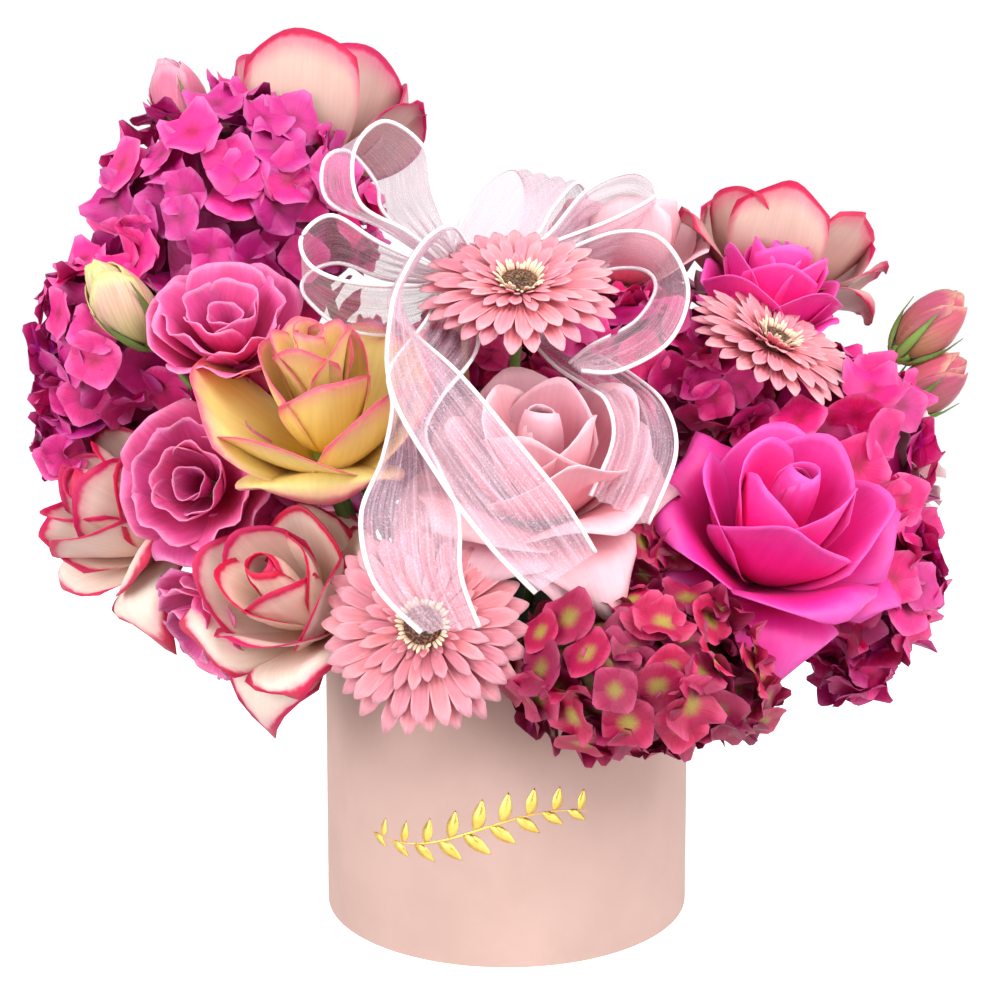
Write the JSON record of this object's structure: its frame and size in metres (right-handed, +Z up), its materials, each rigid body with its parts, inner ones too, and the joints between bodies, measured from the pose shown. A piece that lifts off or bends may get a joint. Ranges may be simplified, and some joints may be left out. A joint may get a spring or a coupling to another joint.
{
  "type": "flower box",
  "caption": "Round card gift box in pale pink paper that holds a full arrangement of cut roses, gerberas, lisianthus and hydrangeas in a lift-out liner, with a sheer organza bow.",
  "frame": {"origin": "middle of the box's underside, on the axis of the round box", "axes": "+Z up along the axis of the box, -Y out of the front of the arrangement, +X to the right as seen from the front"},
  "size_m": [0.4683, 0.3394, 0.4265],
  "materials": {
    "grey_board": "plain grey pulp board",
    "pink_paper": "matte pale pink paper with a fine tooth",
    "black_liner": "thin black moulded plastic",
    "wet_foam": "fine-pored green floral foam, soaked",
    "green_stem": "fresh cut stem with faint ribs",
    "wooden_pick": "bare wooden pick",
    "organza": "sheer white organza with a bright woven edge",
    "salmon_petal": "velvety petal with fine long veins",
    "fuchsia_petal": "velvety petal",
    "yellow_petal": "cream-yellow petal with a pink edge",
    "blush_petal": "pale pink petal",
    "cream_petal": "cream petal with a crimson edge",
    "mauve_petal": "thin ruffled petal",
    "bud_petal": "furled petals, green to pink",
    "antique_floret": "papery floret, green to dusty pink",
    "magenta_floret": "papery magenta floret"
  },
  "bodies": {
    "box": {"wall_tube": "grey_board", "wrap_paper": "pink_paper", "base_board": "grey_board", "base_paper": "pink_paper"},
    "insert": {"bow_knot": "organza", "bow_pick": "wooden_pick", "bud_left": "bud_petal", "bud_right_low": "bud_petal", "foam": "wet_foam", "gerbera_front": "salmon_petal", "gerbera_low": "salmon_petal", "gerbera_right": "salmon_petal", "gerbera_stems": "green_stem", "hydrangea_back_left": "magenta_floret", "hydrangea_back_right": "magenta_floret", "hydrangea_front": "antique_floret", "hydrangea_left": "magenta_floret", "hydrangea_low_right": "magenta_floret", "hydrangea_middle": "antique_floret", "hydrangea_right": "magenta_floret", "hydrangea_stems": "green_stem", "hydrangea_top": "magenta_floret", "liner_tub": "black_liner", "lisianthus_back": "mauve_petal", "lisianthus_left": "mauve_petal", "lisianthus_low": "mauve_petal", "lisianthus_right": "mauve_petal", "lisianthus_stems": "green_stem", "lisianthus_upper": "mauve_petal", "loop_back_left": "organza", "loop_back_right": "organza", "loop_left": "organza", "loop_right": "organza", "loop_upper_left": "organza", "rose_back": "cream_petal", "rose_back_right": "fuchsia_petal", "rose_back_top": "cream_petal", "rose_blush": "blush_petal", "rose_fuchsia": "fuchsia_petal", "rose_fuchsia_back": "fuchsia_petal", "rose_left": "cream_petal", "rose_low_left": "cream_petal", "rose_pale_back": "blush_petal", "rose_stems": "green_stem", "rose_top_left": "cream_petal", "rose_top_right": "cream_petal", "rose_yellow": "yellow_petal", "tail_left": "organza", "tail_long": "organza", "tail_right": "organza"},
    "bud_top": {"bud_top": "bud_petal", "bud_top_stem": "green_stem"},
    "bud_right": {"bud_right": "bud_petal", "bud_right_stem": "green_stem"}
  },
  "joints": [
    {"name": "insert_lift", "type": "slide", "parent": "box", "child": "insert", "axis": [0, 0, 1], "range_m": [0, 0.2]},
    {"name": "bud_top_pull", "type": "slide", "parent": "insert", "child": "bud_top", "axis": [-0.4226, 0.0745, 0.9032], "range_m": [0, 0.045]},
    {"name": "bud_right_pull", "type": "slide", "parent": "insert", "child": "bud_right", "axis": [0.7095, 0.0496, 0.703], "range_m": [0, 0.035]}
  ]
}
